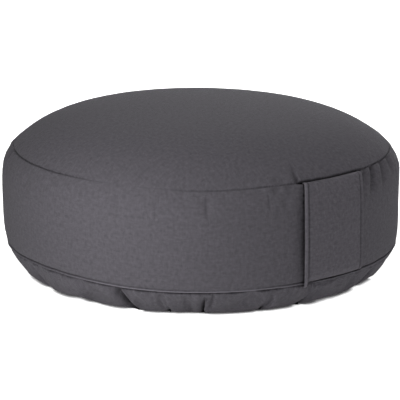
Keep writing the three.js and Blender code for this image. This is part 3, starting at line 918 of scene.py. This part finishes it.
def canvas(name, colour, weave, streaks, mottling):
    """Matt charcoal cotton canvas with a little nap."""
    material = bpy.data.materials.new(name)
    material.use_nodes = True
    nodes, links = material.node_tree.nodes, material.node_tree.links
    shader = nodes["Principled BSDF"]
    cloth = nodes.new("ShaderNodeUVMap")
    cloth.uv_map = "cloth"
    woven = nodes.new("ShaderNodeGroup")
    woven.node_tree = weave
    woven.inputs["Colour"].default_value = colour
    woven.inputs["Thread Pitch"].default_value = THREAD_PITCH
    woven.inputs["Yarn Streaks"].default_value = streaks
    woven.inputs["Mottling"].default_value = mottling
    # Wear, painted highlights and painted shade kept on the cloth's points
    worn = nodes.new("ShaderNodeAttribute")
    worn.attribute_name = "worn"
    links.new(cloth.outputs["UV"], woven.inputs["Place"])
    links.new(worn.outputs["Fac"], woven.inputs["Worn"])
    links.new(woven.outputs["Colour"], shader.inputs["Base Color"])
    links.new(woven.outputs["Roughness"], shader.inputs["Roughness"])
    bump = nodes.new("ShaderNodeBump")
    bump.inputs["Strength"].default_value = WEAVE_STRENGTH
    bump.inputs["Distance"].default_value = WEAVE_DEPTH
    links.new(woven.outputs["Height"], bump.inputs["Height"])
    links.new(bump.outputs["Normal"], shader.inputs["Normal"])
    shader.inputs["Specular IOR Level"].default_value = CANVAS_SPECULAR
    shader.inputs["Sheen Weight"].default_value = CANVAS_NAP
    shader.inputs["Sheen Roughness"].default_value = CANVAS_NAP_ROUGHNESS
    return material


def sewing_thread():
    """Dark twisted thread, with a fine slant of strands."""
    material = bpy.data.materials.new("sewing_thread")
    material.use_nodes = True
    nodes, links = material.node_tree.nodes, material.node_tree.links
    shader = nodes["Principled BSDF"]
    place = nodes.new("ShaderNodeTexCoord")
    strands = nodes.new("ShaderNodeTexWave")
    strands.bands_direction = "DIAGONAL"
    strands.inputs["Scale"].default_value = 1 / STRAND_PITCH
    shades = nodes.new("ShaderNodeMix")
    shades.data_type = "RGBA"
    shades.inputs["A"].default_value = [STRAND_SHADE * part for part in THREAD_COLOUR[:3]] + [1]
    shades.inputs["B"].default_value = THREAD_COLOUR
    links.new(place.outputs["Object"], strands.inputs["Vector"])
    links.new(strands.outputs["Fac"], shades.inputs["Factor"])
    links.new(shades.outputs["Result"], shader.inputs["Base Color"])
    shader.inputs["Roughness"].default_value = THREAD_ROUGHNESS
    shader.inputs["Specular IOR Level"].default_value = THREAD_SPECULAR
    return material


# Studio

CAMERA_AZIMUTH, CAMERA_ELEVATION = -38.2, 14.57
CAMERA_DISTANCE = 1.8
FRAME_PIXELS = 400
FOCAL_PIXELS = 2021.7
SENSOR_WIDTH = 36
AIM_HEIGHT = 0.060
AIM_PIXEL = (202.6, 197.9)
ROOM_STRENGTH = 0.08
FLOOR_HALF_WIDTH, FLOOR_ROUGHNESS = 5, 0.9
FLOOR_PALENESS, FLOOR_GLOW, FLOOR_BOUNCE = 0.9, 1.0, 0.30
# Painted contact shadow on the floor: the camera's glow fades with ambient occlusion, and inside the base's
# ring the floor is black
CONTACT_SHADOW_REACH = 6 * MM
CONTACT_SHADOW_DARK, CONTACT_SHADOW_CLEAR = 0.15, 0.4
PAINTED_SHADOW_UNDER_BASE = (0.1400, 0.1430)


def away_from_cushion(azimuth, elevation):
    """The way out from the cushion, round it by an azimuth and up by an elevation in degrees."""
    turned, rise = math.radians(azimuth), math.radians(elevation)
    level = math.cos(rise)
    return Vector((math.sin(turned) * level, -math.cos(turned) * level, math.sin(rise)))


def camera():
    """The camera at the photograph's angle: the cushion's axis at the aim height falls on the aim pixel."""
    azimuth = math.radians(CAMERA_AZIMUTH)
    back = away_from_cushion(CAMERA_AZIMUTH, CAMERA_ELEVATION)
    right = Vector((math.cos(azimuth), math.sin(azimuth), 0))
    pixel = CAMERA_DISTANCE / FOCAL_PIXELS
    middle = FRAME_PIXELS / 2
    aim = Vector((0, 0, AIM_HEIGHT)) + right * (middle - AIM_PIXEL[0]) * pixel
    aim += back.cross(right) * (AIM_PIXEL[1] - middle) * pixel
    data = bpy.data.cameras.new("camera")
    data.sensor_width = SENSOR_WIDTH
    data.lens = SENSOR_WIDTH * FOCAL_PIXELS / FRAME_PIXELS
    made = linked("camera", data)
    made.location = aim + back * CAMERA_DISTANCE
    made.rotation_euler = (-back).to_track_quat("-Z", "Y").to_euler()
    bpy.context.scene.camera = made


def soft_light(name, azimuth, elevation, distance, size, power):
    """A square soft light that faces the cushion, at an angle round it from the camera's side."""
    away = away_from_cushion(CAMERA_AZIMUTH + azimuth, elevation)
    data = bpy.data.lights.new(name, "AREA")
    data.size, data.energy = size, power
    lamp = linked(name, data)
    lamp.location = Vector((0, 0, AIM_HEIGHT)) + away * distance
    lamp.rotation_euler = (-away).to_track_quat("-Z", "Y").to_euler()
    lamp.visible_camera = False


def white_room():
    """An even white room, which the camera sees as pure white."""
    world = bpy.data.worlds.new("white_room")
    bpy.context.scene.world = world
    world.use_nodes = True
    nodes, links = world.node_tree.nodes, world.node_tree.links
    room = nodes["Background"]
    room.inputs["Color"].default_value = (1, 1, 1, 1)
    room.inputs["Strength"].default_value = ROOM_STRENGTH
    seen = nodes.new("ShaderNodeBackground")
    seen.inputs["Color"].default_value = (1, 1, 1, 1)
    path = nodes.new("ShaderNodeLightPath")
    mix = nodes.new("ShaderNodeMixShader")
    links.new(path.outputs["Is Camera Ray"], mix.inputs["Fac"])
    links.new(room.outputs["Background"], mix.inputs[1])
    links.new(seen.outputs["Background"], mix.inputs[2])
    links.new(mix.outputs["Shader"], nodes["World Output"].inputs["Surface"])


def pale_floor():
    """A plain floor that glows almost white for the camera. Near the cushion that glow fades with ambient
    occlusion as a painted contact shadow, and inside the base's ring the floor is painted black as shadow. To
    other rays it glows a little everywhere, as bounce light.
    """
    form = bmesh.new()
    bmesh.ops.create_grid(form, x_segments=1, y_segments=1, size=FLOOR_HALF_WIDTH)
    floor = piece_from("floor", form)
    pale = bpy.data.materials.new("pale_floor")
    pale.use_nodes = True
    nodes, links = pale.node_tree.nodes, pale.node_tree.links
    shader = nodes["Principled BSDF"]
    shader.inputs["Roughness"].default_value = FLOOR_ROUGHNESS
    shader.inputs["Specular IOR Level"].default_value = 0
    shader.inputs["Emission Color"].default_value = (1, 1, 1, 1)
    path = nodes.new("ShaderNodeLightPath")
    # Painted contact shadow: the glow the camera sees fades where ambient occlusion finds the cushion close
    contact = nodes.new("ShaderNodeAmbientOcclusion")
    contact.inputs["Distance"].default_value = CONTACT_SHADOW_REACH
    glow = nodes.new("ShaderNodeMix")
    glow.inputs["A"].default_value = FLOOR_BOUNCE
    open_floor = nodes.new("ShaderNodeMapRange")
    open_floor.inputs["From Min"].default_value = CONTACT_SHADOW_DARK
    open_floor.inputs["From Max"].default_value = CONTACT_SHADOW_CLEAR
    open_floor.inputs["To Max"].default_value = FLOOR_GLOW
    place = nodes.new("ShaderNodeTexCoord")
    from_middle = nodes.new("ShaderNodeVectorMath")
    from_middle.operation = "LENGTH"
    # Painted shadow: inside the base's ring the floor is black and has no glow for the camera
    past_base = nodes.new("ShaderNodeMapRange")
    past_base.inputs["From Min"].default_value, past_base.inputs["From Max"].default_value = PAINTED_SHADOW_UNDER_BASE
    clear_floor = nodes.new("ShaderNodeMath")
    clear_floor.operation = "MULTIPLY"
    shaded = nodes.new("ShaderNodeMix")
    shaded.data_type = "RGBA"
    shaded.inputs["A"].default_value = (0, 0, 0, 1)
    shaded.inputs["B"].default_value = (FLOOR_PALENESS, FLOOR_PALENESS, FLOOR_PALENESS, 1)
    links.new(place.outputs["Object"], from_middle.inputs[0])
    links.new(from_middle.outputs["Value"], past_base.inputs["Value"])
    links.new(open_floor.outputs["Result"], clear_floor.inputs[0])
    links.new(past_base.outputs["Result"], clear_floor.inputs[1])
    links.new(past_base.outputs["Result"], shaded.inputs["Factor"])
    links.new(shaded.outputs["Result"], shader.inputs["Base Color"])
    links.new(contact.outputs["AO"], open_floor.inputs["Value"])
    links.new(path.outputs["Is Camera Ray"], glow.inputs["Factor"])
    links.new(clear_floor.outputs["Value"], glow.inputs["B"])
    links.new(glow.outputs["Result"], shader.inputs["Emission Strength"])
    floor.data.materials.append(pale)


def studio():
    """The room, the floor and four soft lights."""
    bpy.context.scene.view_settings.view_transform = "Standard"
    white_room()
    pale_floor()
    soft_light("key", azimuth=-28, elevation=14, distance=0.42, size=0.2, power=0.645)
    soft_light("back", azimuth=172, elevation=15, distance=1.6, size=0.9, power=12.2)
    soft_light("top", azimuth=0, elevation=85, distance=1.6, size=0.9, power=12.9)
    soft_light("side", azimuth=60, elevation=20, distance=1.6, size=0.9, power=4.0)


camera()
cover = filled_cover()
weave = plain_weave()
cover.data.materials.append(canvas("cover_canvas", COVER_COLOUR, weave, streaks=0.7, mottling=0.65))
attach(cover, "root")
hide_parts("cushion")

strap = carry_strap()
strap.data.materials.append(canvas("strap_canvas", STRAP_COLOUR, weave, streaks=0.7, mottling=0.7))
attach(strap, "root")
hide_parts("handle")
stitches = strap_stitches()
stitches.data.materials.append(sewing_thread())
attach(stitches, "root")

studio()
